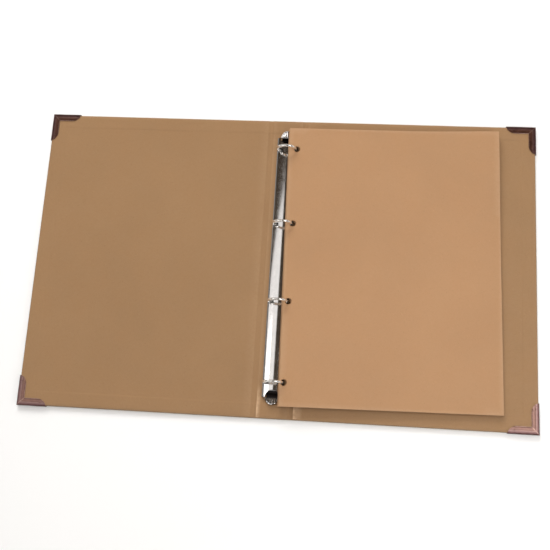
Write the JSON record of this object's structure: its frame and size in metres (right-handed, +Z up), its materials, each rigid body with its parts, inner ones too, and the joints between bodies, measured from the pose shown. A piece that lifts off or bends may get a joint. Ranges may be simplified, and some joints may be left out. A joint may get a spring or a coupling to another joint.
{
  "type": "scrapbook album",
  "caption": "Kraft-covered ring-binder scrapbook album lying open, with metal corner protectors, a ring mechanism and loose punched leaves.",
  "frame": {"origin": "on the table under the middle of the open album, at the centre of the spine", "axes": "+X across the open album towards the back cover, +Y up along the spine, +Z up off the table"},
  "size_m": [0.5096, 0.3116, 0.0245],
  "materials": {
    "kraft_wrap": "matt uncoated kraft",
    "kraft_lining": "matt uncoated kraft",
    "kraft_leaf": "smooth uncoated kraft card",
    "greyboard": "raw pressed board",
    "corner_bronze": "antique bronze, semi-gloss",
    "ring_chrome": "bright nickel-chrome plate",
    "blade_steel": "plain zinc-plated steel",
    "rivet_nickel": "nickel plate"
  },
  "bodies": {
    "spine": {"spine_board": "greyboard", "spine_wrap": "kraft_wrap", "spine_lining": "kraft_lining", "ring_housing": "ring_chrome", "spine_rivet_top": "rivet_nickel", "spine_rivet_bottom": "rivet_nickel"},
    "front_cover": {"front_cover_board": "greyboard", "front_cover_wrap": "kraft_wrap", "front_cover_lining": "kraft_lining", "front_cover_corner_top": "corner_bronze", "front_cover_corner_bottom": "corner_bronze"},
    "back_cover": {"back_cover_board": "greyboard", "back_cover_wrap": "kraft_wrap", "back_cover_lining": "kraft_lining", "back_cover_corner_top": "corner_bronze", "back_cover_corner_bottom": "corner_bronze"},
    "ring_half_left": {"ring_blade_left": "blade_steel", "half_ring_left_1": "ring_chrome", "half_ring_left_2": "ring_chrome", "half_ring_left_3": "ring_chrome", "half_ring_left_4": "ring_chrome"},
    "ring_half_right": {"ring_blade_right": "blade_steel", "half_ring_right_1": "ring_chrome", "half_ring_right_2": "ring_chrome", "half_ring_right_3": "ring_chrome", "half_ring_right_4": "ring_chrome"},
    "lever_top": {"lever_top": "ring_chrome"},
    "lever_bottom": {"lever_bottom": "ring_chrome"},
    "leaf_1": {"leaf_1": "kraft_leaf"},
    "leaf_2": {"leaf_2": "kraft_leaf"},
    "leaf_3": {"leaf_3": "kraft_leaf"},
    "leaf_4": {"leaf_4": "kraft_leaf"},
    "leaf_5": {"leaf_5": "kraft_leaf"},
    "leaf_6": {"leaf_6": "kraft_leaf"}
  },
  "joints": [
    {"name": "front_cover_hinge", "type": "hinge", "parent": "spine", "child": "front_cover", "pos_m": [-0.018, 0, 0.001], "axis": [0, -1, 0], "range_deg": [-90, 0]},
    {"name": "back_cover_hinge", "type": "hinge", "parent": "spine", "child": "back_cover", "pos_m": [0.018, 0, 0.001], "axis": [0, 1, 0], "range_deg": [-90, 0]},
    {"name": "ring_open_left", "type": "hinge", "parent": "spine", "child": "ring_half_left", "pos_m": [-0.0089, 0, 0.0053], "axis": [0, -1, 0], "range_deg": [0, 13]},
    {"name": "ring_open_right", "type": "hinge", "parent": "spine", "child": "ring_half_right", "pos_m": [0.0089, 0, 0.0053], "axis": [0, 1, 0], "range_deg": [0, 13]},
    {"name": "lever_top_press", "type": "hinge", "parent": "spine", "child": "lever_top", "pos_m": [0, 0.1313, 0.0056], "axis": [-1, 0, 0], "range_deg": [0, 15.6]},
    {"name": "lever_bottom_press", "type": "hinge", "parent": "spine", "child": "lever_bottom", "pos_m": [0, -0.1313, 0.0056], "axis": [1, 0, 0], "range_deg": [0, 15.6]},
    {"name": "page_block_swing", "type": "hinge", "parent": "spine", "child": "leaf_1", "pos_m": [0, 0, 0.014], "axis": [0, -1, 0], "range_deg": [0, 90]},
    {"name": "leaf_2_turn", "type": "hinge", "parent": "leaf_1", "child": "leaf_2", "pos_m": [0, 0, 0.014], "axis": [0, -1, 0], "range_deg": [0, 180]},
    {"name": "leaf_3_turn", "type": "hinge", "parent": "leaf_2", "child": "leaf_3", "pos_m": [0, 0, 0.014], "axis": [0, -1, 0], "range_deg": [0, 180]},
    {"name": "leaf_4_turn", "type": "hinge", "parent": "leaf_3", "child": "leaf_4", "pos_m": [0, 0, 0.014], "axis": [0, -1, 0], "range_deg": [0, 180]},
    {"name": "leaf_5_turn", "type": "hinge", "parent": "leaf_4", "child": "leaf_5", "pos_m": [0, 0, 0.014], "axis": [0, -1, 0], "range_deg": [0, 180]},
    {"name": "leaf_6_turn", "type": "hinge", "parent": "leaf_5", "child": "leaf_6", "pos_m": [0, 0, 0.014], "axis": [0, -1, 0], "range_deg": [0, 180]}
  ],
  "couplings": [
    {"joint": "ring_open_right", "follows": "ring_open_left", "ratio": 1},
    {"joint": "lever_top_press", "follows": "ring_open_left", "ratio": 1.2},
    {"joint": "lever_bottom_press", "follows": "ring_open_left", "ratio": 1.2},
    {"joint": "page_block_swing", "follows": "back_cover_hinge", "ratio": -1}
  ]
}
